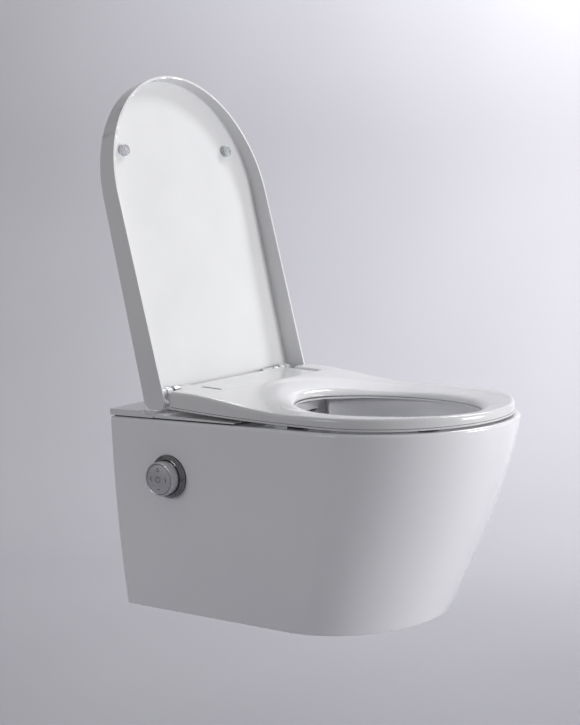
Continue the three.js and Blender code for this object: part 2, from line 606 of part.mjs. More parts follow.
/** Anything built along +Z from the wand's tip, turned to lie along the wand. */
function alongWand(made) {
  const turn = new THREE.Matrix4().makeRotationX(tilt - Math.PI / 2);
  turn.setPosition(0, WAND.tipY, WAND.tipZ);
  const geometry = geometryOf(made).applyMatrix4(turn);
  return solid(geometry);
}
/** The wand in its own frame: +Z from tip to tail, the rack on its lower side. */
function wand() {
  const tube = rod([0, 0, 8], [0, 0, WAND.length], WAND.r, 20);
  const bar = block([-3, 3], [5, RACK.line - 1], [10, WAND.length]);
  const teeth = Array.from({ length: RACK.teeth - 1 }, (_, i) => {
    const z = RACK.start + RACK.pitch * i;
    const [root, crown] = [RACK.line - 1.3, RACK.line + 0.7];
    return sidePlate([[root, z - 0.95], [root, z + 0.95], [crown, z + 0.4], [crown, z - 0.4]], -3, 3);
  });
  return join(tube, bar, ...teeth);
}
function pinion() {
  const c = [RACK.line + PINION.r + 0.25, PINION.at];
  const phase = ((PINION.at - RACK.start) / RACK.pitch) % 1;
  const outline = [];
  for (let i = 0; i < PINION.teeth; i++) {
    const step = (2 * Math.PI) / PINION.teeth;
    const a = -Math.PI / 2 + step * (i + 0.5) - step * phase;
    for (const [r, half] of [[5.9, 0.9], [PINION.r + 0.7, 0.35]]) {
      const w = half / r;
      outline.push([r, a - w], [r, a + w]);
    }
    const four = outline.splice(-4);
    outline.push(four[0], four[2], four[3], four[1]);
  }
  const points = outline.map(([r, a]) => [c[0] + r * Math.sin(a), c[1] + r * Math.cos(a)]);
  return { gear: sidePlate(points, -2.6, 2.6), centre: c };
}
add("nozzle_wand", alongWand(wand()), LOOK.matte);
const tip = cut(
  join(rod([0, 0, 0.4], [0, 0, 8 - GAP], WAND.r, 20), rod([0, 0, -2.2], [0, 0, 0.6], WAND.r - 3, 20, WAND.r)),
  ...[-3, 0, 3].map((x) => rod([x, -4, 4], [x, -12, 4.1], 0.9, 10)),
);
add("nozzle_tip", alongWand(tip), LOOK.steel);
const gear = pinion();
const pinionShaft = rod([2.6, ...gear.centre], [13.6, ...gear.centre], 2.2, 12);
add("nozzle_pinion", alongWand(join(gear.gear, pinionShaft)), LOOK.brass);
add("nozzle_motor", alongWand(rod([14, ...gear.centre], [31, ...gear.centre], 8.5, 20)), LOOK.steel);
/** Guide that the wand slides in, slit along its lower side for the rack. */
const carrier = cut(
  block([-13, 13], [-12.5, 12.5], [24, 92]),
  rod([0, 0, 10], [0, 0, 100], WAND.r + 0.6, 20),
  block([-3.6, 3.6], [0, 20], [10, 100]),
);
add("nozzle_carrier", alongWand(carrier), LOOK.matte);

// ---------------------------------------------------------------- water side, in the left well
add("heater_tank", join(
  block([-141, -92], [-147, -96], [27.5, 84]),
  rod([-116, -122, 84], [-116, -122, 96], 7, 16),
  rod([-104, -96, 70], [-104, -86, 70], 5, 16),
), LOOK.matte);
add("water_pump", join(
  rod([-122, -62, 27.5], [-122, -62, 62], 17, 24),
  rod([-122, -62, 62], [-122, -62, 88], 12, 20),
  rod([-110, -62, 40], [-100, -62, 40], 4, 12),
), LOOK.dark);
add("inlet_valve", join(
  block([-88, -60], [-66, -34], [27.5, 54]),
  rod([-74, -50, 54], [-74, -50, 80], 11, 20),
  rod([-74, -66, 40], [-74, -76, 40], 5, 12),
), LOOK.matte);
add("valve_coil", cut(
  rod([-74, -50, 56], [-74, -50, 76], 15, 20), rod([-74, -50, 50], [-74, -50, 80], 11 + GAP, 20),
), LOOK.dark);
add("diverter_valve", join(
  rod([-70, -118, 27.5], [-70, -118, 62], 12, 20), rod([-70, -110, 46], [-70, -96, 46], 4, 12),
), LOOK.matte);

// ---------------------------------------------------------------- electronics and dryer, in the right well
const board = join(
  block([142, 143.4], [-146, -36], [30, 92]),
  block([134, 142.01], [-140, -120], [34, 60]),
  block([137, 142.01], [-112, -60], [40, 52]),
  block([136, 142.01], [-100, -84], [60, 80]),
);
add("control_board", board, LOOK.board);
add("power_supply", block([96, 130], [-70, -34], [27.5, 78]), LOOK.dark);
add("dryer_housing", cut(
  join(
    rod([FAN.x - 14, FAN.y, FAN.z], [FAN.x + 14, FAN.y, FAN.z], FAN.r, 28),
    block([FAN.x - 14, FAN.x + 14], [FAN.y - 36, FAN.y], [FAN.z + 8, FAN.z + FAN.r]),
  ),
  rod([FAN.x - 11.5, FAN.y, FAN.z], [FAN.x + 11.5, FAN.y, FAN.z], FAN.r - 2.5, 28),
  block([FAN.x - 11.5, FAN.x + 11.5], [FAN.y - 40, FAN.y], [FAN.z + 10.5, FAN.z + FAN.r - 2.5]),
  rod([FAN.x - 20, FAN.y, FAN.z], [FAN.x - 10, FAN.y, FAN.z], 13, 24),
), LOOK.matte);
const blades = Array.from({ length: 12 }, (_, i) => {
  const a = (2 * Math.PI * i) / 12;
  const at = (r, b) => [FAN.y + r * Math.cos(a + b), FAN.z + r * Math.sin(a + b)];
  return sidePlate([at(13, 0), at(13, 0.1), at(19.5, 0.32), at(19.5, 0.24)], FAN.x - 9.5, FAN.x + 8);
});
add("dryer_impeller", join(
  rod([FAN.x + 7.5, FAN.y, FAN.z], [FAN.x + 9.5, FAN.y, FAN.z], 19.5, 28),
  rod([FAN.x - 6, FAN.y, FAN.z], [FAN.x + 8, FAN.y, FAN.z], 5, 16), ...blades,
), LOOK.dark);
add("dryer_motor", rod([FAN.x + 14 + GAP, FAN.y, FAN.z], [FAN.x + 34, FAN.y, FAN.z], 13, 24), LOOK.steel);

// ---------------------------------------------------------------- control knob in the pan's side
/** A solid turned about the knob's axis from [distance out, radius] pairs. */
function turned(profile, segments = 36) {
  const body = new THREE.LatheGeometry(profile.map(([out, r]) => new THREE.Vector2(r, out)), segments);
  body.applyMatrix4(new THREE.Matrix4().makeBasis(
    new THREE.Vector3(0, 0, 1), new THREE.Vector3(-1, 0, 0), new THREE.Vector3(0, -1, 0)));
  return solid(body.translate(...onKnob(0)));
}
add("knob_escutcheon", turned([
  [GAP, 20], [GAP, KNOB.plate], [4.6, KNOB.plate], [5.8, 31.6], [5.8, 29.6], [8, 29], [9, 28], [9, 26.8],
  [3, 26.8], [3, 20], [GAP, 20],
]), LOOK.chrome);
add("knob_ring", turned([
  [-21, 0], [-21, 4], [12, 4], [12, 22], [5, 22], [5, KNOB.r], [24.6, KNOB.r], [25.9, KNOB.r - 0.8],
  [25.9, KNOB.face + 0.5], [14, KNOB.face + 0.5], [14, 0],
]), LOOK.satin);
add("knob_button", turned([
  [17.5, 0], [17.5, KNOB.face], [25.4, KNOB.face], [26.3, KNOB.face - 0.9], [KNOB.out, 0],
]), LOOK.satin);
add("button_spring", turned([[14.3, 6], [14.3, 8], [16.1, 8], [16.1, 6], [14.3, 6]], 20), LOOK.steel);
add("knob_bush", cut(
  join(rod(onKnob(-21.5), onKnob(10), 11, 24), rod(onKnob(GAP), onKnob(2.4), 19.6, 32)),
  rod(onKnob(-30), onKnob(12), 5, 16),
), LOOK.matte);
add("knob_washer", cut(
  rod(onKnob(-7.7), onKnob(-9.3), 25, 28), rod(onKnob(0), onKnob(-20), 12, 24)), LOOK.gasket);
add("knob_nut", cut(
  rod(onKnob(-9.6), onKnob(-15.6), 22, 8), rod(onKnob(0), onKnob(-20), 11 + GAP, 24)), LOOK.matte);
const [encoderX] = onKnob(-22);
add("knob_encoder", block(
  [encoderX, encoderX + 14], [KNOB.y - 16, KNOB.y + 16], [KNOB.z - 16, KNOB.z + 16],
), LOOK.board);

export default part;
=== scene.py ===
"""Looks of the wall-hung shower toilet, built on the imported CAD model.

Every place is in metres in the part's frame: X across, the nose towards -Y, the wall at Y = 0, +Z up.
The large mouldings are remade as smooth meshes over their CAD nodes; the small hard parts keep their CAD
shape and get a procedural material.
"""
import json
import math

import bmesh
import bpy
from mathutils import Matrix, Vector


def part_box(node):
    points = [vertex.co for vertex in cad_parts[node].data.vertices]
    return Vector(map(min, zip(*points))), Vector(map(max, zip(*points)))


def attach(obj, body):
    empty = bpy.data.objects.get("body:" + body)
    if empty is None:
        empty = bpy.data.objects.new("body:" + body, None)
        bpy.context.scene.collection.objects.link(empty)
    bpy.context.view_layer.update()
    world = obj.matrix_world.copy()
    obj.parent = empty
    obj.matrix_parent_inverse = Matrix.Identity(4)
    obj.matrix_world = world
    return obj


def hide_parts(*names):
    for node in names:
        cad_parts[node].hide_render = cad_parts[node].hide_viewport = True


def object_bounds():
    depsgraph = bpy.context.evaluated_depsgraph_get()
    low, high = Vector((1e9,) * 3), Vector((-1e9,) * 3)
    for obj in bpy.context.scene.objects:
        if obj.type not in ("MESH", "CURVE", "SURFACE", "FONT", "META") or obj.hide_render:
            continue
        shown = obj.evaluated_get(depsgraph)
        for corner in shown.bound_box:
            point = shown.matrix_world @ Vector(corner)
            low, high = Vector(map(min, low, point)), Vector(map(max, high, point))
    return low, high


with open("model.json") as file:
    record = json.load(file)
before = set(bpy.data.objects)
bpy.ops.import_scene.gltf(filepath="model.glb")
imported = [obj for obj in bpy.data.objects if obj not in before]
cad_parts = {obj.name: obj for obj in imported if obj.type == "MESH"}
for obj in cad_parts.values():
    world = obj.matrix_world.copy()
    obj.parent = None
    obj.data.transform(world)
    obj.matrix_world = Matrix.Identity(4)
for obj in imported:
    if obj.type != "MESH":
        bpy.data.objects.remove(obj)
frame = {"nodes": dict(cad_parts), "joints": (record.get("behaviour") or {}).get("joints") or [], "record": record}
cad_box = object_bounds()

MM = 0.001
JOINTS = {joint["name"]: joint for joint in frame["joints"]}


# ---------------------------------------------------------------- materials
class Shader:
    """A node material under construction."""

    def __init__(self, name):
        self.material = bpy.data.materials.new(name)
        self.material.use_nodes = True
        self.nodes = self.material.node_tree.nodes
        self.links = self.material.node_tree.links
        self.surface = self.nodes["Principled BSDF"]
        self.coords = self.nodes.new("ShaderNodeTexCoord").outputs["Object"]

    def set(self, **values):
        for name, value in values.items():
            self.surface.inputs[name.replace("_", " ")].default_value = value
        return self

    def noise(self, scale, detail=2.0, stretch=None):
        node = self.nodes.new("ShaderNodeTexNoise")
        node.inputs["Scale"].default_value = scale
        node.inputs["Detail"].default_value = detail
        source = self.coords
        if stretch:
            mapping = self.nodes.new("ShaderNodeMapping")
            mapping.inputs["Scale"].default_value = stretch
            self.links.new(source, mapping.inputs["Vector"])
            source = mapping.outputs["Vector"]
        self.links.new(source, node.inputs["Vector"])
        return node.outputs["Fac"]

    def ramp(self, factor, low, high, start=0.35, end=0.65):
        node = self.nodes.new("ShaderNodeMapRange")
        for name, value in (("From Min", start), ("From Max", end), ("To Min", low), ("To Max", high)):
            node.inputs[name].default_value = value
        self.links.new(factor, node.inputs["Value"])
        return node.outputs["Result"]

    def tint(self, factor, dark, light):
        """Base colour drifting between two colours."""
        node = self.nodes.new("ShaderNodeMix")
        node.data_type = "RGBA"
        node.inputs["A"].default_value = (*dark, 1)
        node.inputs["B"].default_value = (*light, 1)
        self.links.new(self.ramp(factor, 0, 1), node.inputs["Factor"])
        self.links.new(node.outputs["Result"], self.surface.inputs["Base Color"])
        return self

    def roughness(self, factor, low, high):
        self.links.new(self.ramp(factor, low, high), self.surface.inputs["Roughness"])
        return self

    def bump(self, height, strength, distance):
        node = self.nodes.new("ShaderNodeBump")
        node.inputs["Strength"].default_value = strength
        node.inputs["Distance"].default_value = distance
        self.links.new(height, node.inputs["Height"])
        self.links.new(node.outputs["Normal"], self.surface.inputs["Normal"])
        return self


def glaze(name):
    """Vitreous glaze: a hard clear coat with a faint pull of thickness over a white body."""
    s = Shader(name).set(IOR=1.52, Coat_Weight=0.6, Coat_Roughness=0.03)
    s.tint(s.noise(5.0, 3.0), (0.87, 0.872, 0.90), (0.89, 0.892, 0.915))
    s.roughness(s.noise(40.0), 0.06, 0.11)
    return s.bump(s.noise(28.0, 1.0), 0.05, 0.0006).material


def moulded(name, dark, light, rough=(0.14, 0.22), grain=420.0, depth=0.00006, strength=0.10, **more):
    """Moulded plastic: slight colour drift, uneven gloss and a fine moulding grain."""
    s = Shader(name).set(IOR=1.49, **more)
    s.tint(s.noise(9.0), dark, light)
    s.roughness(s.noise(55.0, 3.0), *rough)
    return s.bump(s.noise(grain, 2.0), strength, depth).material


def metal(name, dark, light, rough, stretch=(1, 1, 1), grain=300.0, strength=0.08):
    """Metal with a brushed or polished surface."""
    s = Shader(name).set(Metallic=1.0)
    fine = s.noise(grain, 3.0, stretch)
    s.tint(fine, dark, light)
    s.roughness(fine, *rough)
    return s.bump(fine, strength, 0.00005).material


LOOKS = {
    "glazed_ceramic": glaze("glaze"),
    "white_gloss": moulded("white_moulding", (0.75, 0.753, 0.765), (0.78, 0.782, 0.79), (0.12, 0.18),
                           Coat_Weight=0.3, Coat_Roughness=0.06),
    "grey_plastic": moulded("natural_moulding", (0.62, 0.62, 0.64), (0.70, 0.70, 0.71), (0.40, 0.55), 260.0),
    "tinted_plastic": moulded("dark_moulding", (0.018, 0.018, 0.022), (0.03, 0.03, 0.034), (0.12, 0.2)),
    "black_rubber": moulded("rubber", (0.020, 0.020, 0.022), (0.032, 0.032, 0.034), (0.55, 0.75),
                            180.0, 0.0002),
    "clear_silicone": moulded("silicone", (0.72, 0.73, 0.75), (0.80, 0.80, 0.82), (0.22, 0.32), 200.0,
                              Transmission_Weight=0.45, Subsurface_Weight=0.2),
    # Painted dark reflection: the chrome's colour is held far darker than real chrome so that it shows the dark
    # surroundings it would mirror.
    "chrome": metal("chrome_painted_dark_reflection", (0.24, 0.24, 0.25), (0.30, 0.30, 0.31), (0.03, 0.06), strength=0.01),
    "satin_metal": metal("satin_plate", (0.66, 0.66, 0.68), (0.74, 0.74, 0.76), (0.26, 0.36),
                         (1, 9, 9), 160.0),
    "steel": metal("machined_steel", (0.50, 0.50, 0.52), (0.60, 0.60, 0.62), (0.22, 0.38), (6, 1, 1)),
    "brass": metal("machined_brass", (0.60, 0.43, 0.17), (0.70, 0.52, 0.23), (0.22, 0.35), (6, 1, 1)),
    "copper_foil": metal("foil", (0.60, 0.30, 0.18), (0.72, 0.38, 0.22), (0.25, 0.4), (1, 12, 1)),
    "green_board": moulded("coated_board", (0.02, 0.12, 0.06), (0.04, 0.18, 0.09), (0.3, 0.45), 90.0, 0.0003),
}
SLOTS = {entry["node"]: entry["material_slot"] for entry in frame["record"]["subparts"]}
for node, carried in frame["nodes"].items():
    carried.data.materials.clear()
    carried.data.materials.append(LOOKS[SLOTS[node]])
    carried.data.shade_smooth()
    carried.data.set_sharp_from_angle(angle=math.radians(32))


# ---------------------------------------------------------------- mesh helpers
def new_mesh(name, points, faces):
    """An object from points and faces, with its faces turned outwards."""
    mesh = bpy.data.meshes.new(name)
    mesh.from_pydata([tuple(p) for p in points], [], faces)
    work = bmesh.new()
    work.from_mesh(mesh)
    bmesh.ops.remove_doubles(work, verts=work.verts, dist=1e-6)
    bmesh.ops.recalc_face_normals(work, faces=work.faces)
    work.to_mesh(mesh)
    work.free()
    made = bpy.data.objects.new(name, mesh)
    bpy.context.scene.collection.objects.link(made)
    return made


def loft(name, rings):
    """A closed solid through rings of equal point counts, capped flat at both ends."""
    n = len(rings[0])
    points = [p for ring in rings for p in ring]
    faces = [[k * n + i, k * n + (i + 1) % n, (k + 1) * n + (i + 1) % n, (k + 1) * n + i]
             for k in range(len(rings) - 1) for i in range(n)]
    faces += [list(range(n))[::-1], [(len(rings) - 1) * n + i for i in range(n)]]
    return new_mesh(name, points, faces)


def prism(name, outline, axis, start, end):
    """An outline of 2D points extruded along X or Z; along X its points are (y, z), along Z (x, y)."""
    def place(u, v, w):
        return (w, u, v) if axis == "X" else (u, v, w)
    return loft(name, [[place(u, v, w) for u, v in outline] for w in (start, end)])


def block(name, low, high):
    outline = [(low[0], low[1]), (high[0], low[1]), (high[0], high[1]), (low[0], high[1])]
    return prism(name, outline, "Z", low[2], high[2])


def rod(name, start, end, radius, sides=48):
    """A cylinder between two points."""
    way = Vector(end) - Vector(start)
    turn = way.to_track_quat("Z", "Y").to_matrix()
    ring = [turn @ Vector((radius * math.cos(a), radius * math.sin(a), 0))
            for a in (2 * math.pi * i / sides for i in range(sides))]
    return loft(name, [[p + Vector(start) for p in ring], [p + Vector(end) for p in ring]])


def tube_along(name, path, radius, sides=32, steps=10):
    """A round solid along a smooth curve through (y, z) points in the plane X = 0."""
    points = []
    ends = [path[0], *path, path[-1]]
    for k in range(1, len(ends) - 2):
        for i in range(steps + (k == len(ends) - 3)):
            t = i / steps
            w = (-t + 2 * t * t - t ** 3, 2 - 5 * t * t + 3 * t ** 3,
                 t + 4 * t * t - 3 * t ** 3, t ** 3 - t * t)
            points.append(sum((Vector(p) * f / 2 for p, f in zip(ends[k - 1:k + 3], w)), Vector((0, 0))))
    rings = []
    for i, p in enumerate(points):
        along = (points[min(i + 1, len(points) - 1)] - points[max(i - 1, 0)]).normalized()
        across = Vector((-along.y, along.x))
        rings.append([(radius * math.cos(a), p.x + across.x * radius * math.sin(a),
                       p.y + across.y * radius * math.sin(a))
                      for a in (2 * math.pi * j / sides for j in range(sides))])
    return loft(name, rings)


def combine(target, operation, *others):
    """Booleans others into target and removes them."""
    for other in others:
        modifier = target.modifiers.new("combine", "BOOLEAN")
        modifier.operation = operation
        modifier.solver = "EXACT"
        modifier.object = other
        bake(target)
        bpy.data.objects.remove(other)
    return target


def bake(obj):
    """Applies an object's modifiers to its mesh."""
    bpy.context.view_layer.update()
    evaluated = obj.evaluated_get(bpy.context.evaluated_depsgraph_get())
    obj.data = bpy.data.meshes.new_from_object(evaluated)
    obj.modifiers.clear()


def finish_piece(obj, nodes, body, slot, bevel=0.0, segments=3, sharp=32, clean=False):
    """Bevels, shades, paints and mounts a piece that stands for CAD nodes."""
    if clean:
        work = bmesh.new()
        work.from_mesh(obj.data)
        bmesh.ops.dissolve_limit(work, angle_limit=math.radians(0.5), verts=work.verts, edges=work.edges)
        work.to_mesh(obj.data)
        work.free()
    if bevel:
        modifier = obj.modifiers.new("edges", "BEVEL")
        modifier.width = bevel
        modifier.segments = segments
        modifier.limit_method = "ANGLE"
        modifier.angle_limit = math.radians(sharp)
        modifier.harden_normals = False
        bake(obj)
    obj.data.shade_smooth()
    obj.data.set_sharp_from_angle(angle=math.radians(sharp))
    weighted = obj.modifiers.new("normals", "WEIGHTED_NORMAL")
    weighted.keep_sharp = True
    bake(obj)
    obj.data.materials.clear()
    obj.data.materials.append(LOOKS[slot])
    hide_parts(*nodes)
    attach(obj, body)
    return obj


def d_outline(half, straight, nose, rear=0.0, steps=96):
    """D-shaped plan: sides from rear to straight, then a half ellipse. Lengths run towards -Y."""
    points = [(-half, -rear)]
    points += [(-half * math.cos(a), -straight - (nose - straight) * math.sin(a))
               for a in (math.pi * i / steps for i in range(steps + 1))]
    return points + [(half, -rear)]


# ---------------------------------------------------------------- ceramic pan
pan_low, pan_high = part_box("ceramic_pan")
PAN_HALF, PAN_NOSE = pan_high[0], -pan_low[1]
PAN_TOP, PAN_BOTTOM = pan_high[2], pan_low[2]
PAN_HEIGHT = PAN_TOP - PAN_BOTTOM
RIM_EDGE, FOOT_EDGE, BOWL_EDGE, WALL_EDGE = 5 * MM, 1.6 * MM, 7 * MM, 4 * MM
BOWL = [  # height, half width, rear, front
    (60, 146, -212, -550), (0, 122, -206, -512), (-60, 90, -198, -440),
    (-110, 62, -190, -352), (-140, 44, -186, -290), (-150, 32, -192, -272),
]
TRAP = [(-235, -122), (-170, -118), (-130, -72), (-92, -66), (-52, -92), (-20, -100), (6, -100)]


def pan_ring(z, inset=0.0):
    """The pan's plan at a height: full at the rim, drawn in below, most of all at the nose."""
    t = min(1.0, max(0.0, (PAN_TOP - z) / PAN_HEIGHT))
    half = PAN_HALF - 18.5 * MM * t ** 2.2 - inset
    outline = d_outline(half, 391 * MM - 80 * MM * t ** 1.3, PAN_NOSE - 121.6 * MM * t ** 1.29 - inset)
    corner = [(half - WALL_EDGE * (1 - math.sin(a)), -WALL_EDGE * (1 - math.cos(a)))
              for a in (math.pi / 2 * i / 6 for i in range(7))]
    outline = [(-x, y) for x, y in corner] + outline[1:-1] + corner[::-1]
    return [(x, y, z) for x, y in outline]


def pan_skin():
    rounds = [math.radians(a) for a in range(0, 91, 15)]
    rings = [pan_ring(PAN_BOTTOM + FOOT_EDGE * (1 - math.cos(a)), FOOT_EDGE * (1 - math.sin(a)))
             for a in rounds]
    low, high = PAN_BOTTOM + FOOT_EDGE, PAN_TOP - RIM_EDGE
    rings += [pan_ring(low + (high - low) * i / 40) for i in range(1, 40)]
    rings += [pan_ring(high + RIM_EDGE * math.sin(a), RIM_EDGE * (1 - math.cos(a))) for a in rounds]
    return loft("ceramic", rings)


def smooth_row(z):
    """The bowl's half width, rear and front at a height, on a smooth curve through BOWL."""
    rows = [tuple(v * MM for v in row) for row in BOWL]
    k = next((i for i in range(len(rows) - 1) if z >= rows[i + 1][0]), len(rows) - 2)
    ends = [rows[max(k - 1, 0)], rows[k], rows[k + 1], rows[min(k + 2, len(rows) - 1)]]
    t = (rows[k][0] - z) / (rows[k][0] - rows[k + 1][0])
    w = (-t + 2 * t * t - t ** 3, 2 - 5 * t * t + 3 * t ** 3, t + 4 * t * t - 3 * t ** 3, t ** 3 - t * t)
    return [sum(row[c] * f / 2 for row, f in zip(ends, w)) for c in (1, 2, 3)]


def bowl_solid():
    def oval(z, row, grow=0.0, steps=96):
        half, rear, front = row
        return [((half + grow) * math.cos(a),
                 (rear + front) / 2 + ((rear - front) / 2 + grow) * math.sin(a), z)
                for a in (2 * math.pi * i / steps for i in range(steps))]
    bottom, shoulder = BOWL[-1][0] * MM, BOWL[0][0] * MM
    rim = [150 * MM, -213 * MM, -556 * MM]
    rings = [oval(bottom + (shoulder - bottom) * i / 40, smooth_row(bottom + (shoulder - bottom) * i / 40))
             for i in range(41)]
    last = smooth_row(shoulder)
    for i in range(1, 9):
        t = i / 8
        mix = t * t * (3 - 2 * t)
        rings.append(oval(shoulder + (PAN_TOP - BOWL_EDGE - shoulder) * t,
                          [a + (b - a) * mix for a, b in zip(last, rim)]))
    for a in (math.radians(d) for d in range(15, 91, 15)):
        rings.append(oval(PAN_TOP - BOWL_EDGE * (1 - math.sin(a)), rim, BOWL_EDGE * (1 - math.cos(a))))
    rings.append(oval(PAN_TOP + 3 * MM, rim, BOWL_EDGE))
    return loft("bowl", rings)


def ceramic():
    box_low, box_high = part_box("nozzle_box")
    tray_low, tray_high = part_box("deck_tray")
    knob = Vector(JOINTS["knob_turn"]["pos_m"])
    nut_low, nut_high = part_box("knob_nut")
    encoder_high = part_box("knob_encoder")[1]
    seal_low, seal_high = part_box("inlet_seal")
    inlet = (seal_low[2] + seal_high[2]) / 2
    plate_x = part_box("knob_escutcheon")[1][0]
    body = pan_skin()
    combine(
        body, "DIFFERENCE", bowl_solid(),
        block("nozzle_room", (box_low[0] - 3 * MM, box_low[1] - 20 * MM, box_low[2] - 1 * MM),
              (box_high[0] + 3 * MM, tray_low[1] + 13 * MM, PAN_TOP + 6 * MM)),
        block("deck_room", (tray_low[0] + 8 * MM, tray_low[1] + 3 * MM, tray_low[2] - 6 * MM),
              (tray_high[0] - 8 * MM, tray_high[1] - 7 * MM, PAN_TOP + 6 * MM)),
        block("knob_room", (nut_low[0] - 2.2 * MM, nut_low[1] - 8 * MM, nut_low[2] - 8 * MM),
              (encoder_high[0] + 12 * MM, nut_high[1] + 8 * MM, nut_high[2] + 30 * MM)),
        rod("knob_bore", (-0.21, knob.y, knob.z), (-0.165, knob.y, knob.z), 12 * MM),
        rod("knob_seat", (-0.21, knob.y, knob.z), (plate_x + 0.3 * MM, knob.y, knob.z), 34 * MM, 72),
        rod("inlet_bore", (0, 0.006, inlet), (0, -0.222, inlet), (seal_high[0] - seal_low[0]) / 2 + 0.3 * MM),
        tube_along("trap", [(y * MM, z * MM) for y, z in TRAP], 39 * MM),
    )
    for side in ("left", "right"):
        low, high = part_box(f"fixing_sleeve_{side}")
        x, z = (low[0] + high[0]) / 2, (low[2] + high[2]) / 2
        combine(body, "DIFFERENCE",
                rod("bolt_bore", (x, 0.006, z), (x, -0.046, z), 11 * MM),
                rod("nut_room", (x, low[1] + 2.8 * MM, z), (x, -0.09, z), 20 * MM))
    return finish_piece(body, ["ceramic_pan"], "pan", "glazed_ceramic")


ceramic()

# ---------------------------------------------------------------- covers behind and under the seat
HINGE = Vector(JOINTS["lid_hinge"]["pos_m"])
FOOT_ROOM = 30.8 * MM  # scoops in the cover, round the hinge axis, for the lid's feet
cover_low, cover_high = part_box("rear_cover")
COVER_TOP = cover_high[2]


def rear_cover():
    made = block("cover_slab", cover_low, cover_high)
    hollow = block("cover_hollow", (cover_low[0] + 12 * MM, cover_low[1] + 3 * MM, cover_low[2] - 1 * MM),
                   (cover_high[0] - 12 * MM, cover_high[1] - 3 * MM, cover_high[2] - 3 * MM))
    scoops = [rod("scoop", (s * 0.183, HINGE.y, HINGE.z), (s * 0.195, HINGE.y, HINGE.z), FOOT_ROOM, 96)
              for s in (-1, 1)]
    combine(made, "DIFFERENCE", hollow, *scoops)
    return finish_piece(made, ["rear_cover"], "pan", "white_gloss", 0.9 * MM)


rear_cover()


def hinge_housing():
    """The fixed housing between the seat's arms, with a shallow window recess in its top."""
    low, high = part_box("hinge_housing")
    fall = 4 * MM
    side = [(low[1], low[2]), (low[1], high[2] - fall), (high[1], high[2]), (high[1], low[2])]
    body = prism("housing", side, "X", low[0], high[0])
    wall = 2.6 * MM
    inner = [(low[1] + wall, low[2] - 1 * MM), (low[1] + wall, high[2] - fall - wall),
             (high[1] - wall, high[2] - wall), (high[1] - wall, low[2] - 1 * MM)]
    pane_low, pane_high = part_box("indicator_window")
    combine(body, "DIFFERENCE", prism("housing_room", inner, "X", low[0] + wall, high[0] - wall),
            block("pane_room", (pane_low[0] - 0.4 * MM, pane_low[1] - 0.4 * MM, pane_low[2] - 3 * MM),
                  (pane_high[0] + 0.4 * MM, pane_high[1] + 0.4 * MM, high[2] + 4 * MM)),
            block("wand_notch", (-15 * MM, low[1] - 5 * MM, low[2] - 1 * MM),
                  (15 * MM, low[1] + 10 * MM, low[2] + 6 * MM)))
    return finish_piece(body, ["hinge_housing"], "pan", "white_gloss", 0.8 * MM)


hinge_housing()

# ---------------------------------------------------------------- seat
SEAT = {"half": 183.2 * MM, "straight": 391 * MM, "nose": 581 * MM, "rear": 112 * MM, "crest": 118 * MM,
        "rear_round": 36.5 * MM}
NOTCH = {"half": 140 * MM, "front": 171.5 * MM}
HOLE = {"y": -388 * MM, "half_width": 110 * MM, "half_length": 150 * MM}
SEAT_EDGE = 5.5 * MM  # rounding of the seat's top edge
FLOOR = 2.9 * MM  # thickness of the bottom shell and its joint line


def clamp(t):
    return min(1.0, max(0.0, t))


def seat_edge(y):
    """Height of the seat's rim, falling in one long curve from the hinge to the nose."""
    fall = clamp((-y - SEAT["crest"]) / (225 * MM))
    return COVER_TOP + 9 * MM + 11.25 * MM * (1 + math.cos(math.pi * fall))


def seat_under(y):
    return COVER_TOP - 9 * MM + 14 * MM * (1 - clamp((-y - SEAT["crest"]) / (463 * MM))) ** 3


def seat_top(x, y):
    """Rim height less the horseshoe-shaped dish round the hole."""
    dish = clamp((1 - math.hypot(x / (158 * MM), (y - HOLE["y"]) / (214 * MM))) / 0.30)
    step = clamp(dish / 0.30)
    return seat_edge(y) - 1.8 * MM * step * step * (3 - 2 * step) - 6.5 * MM * dish ** 2


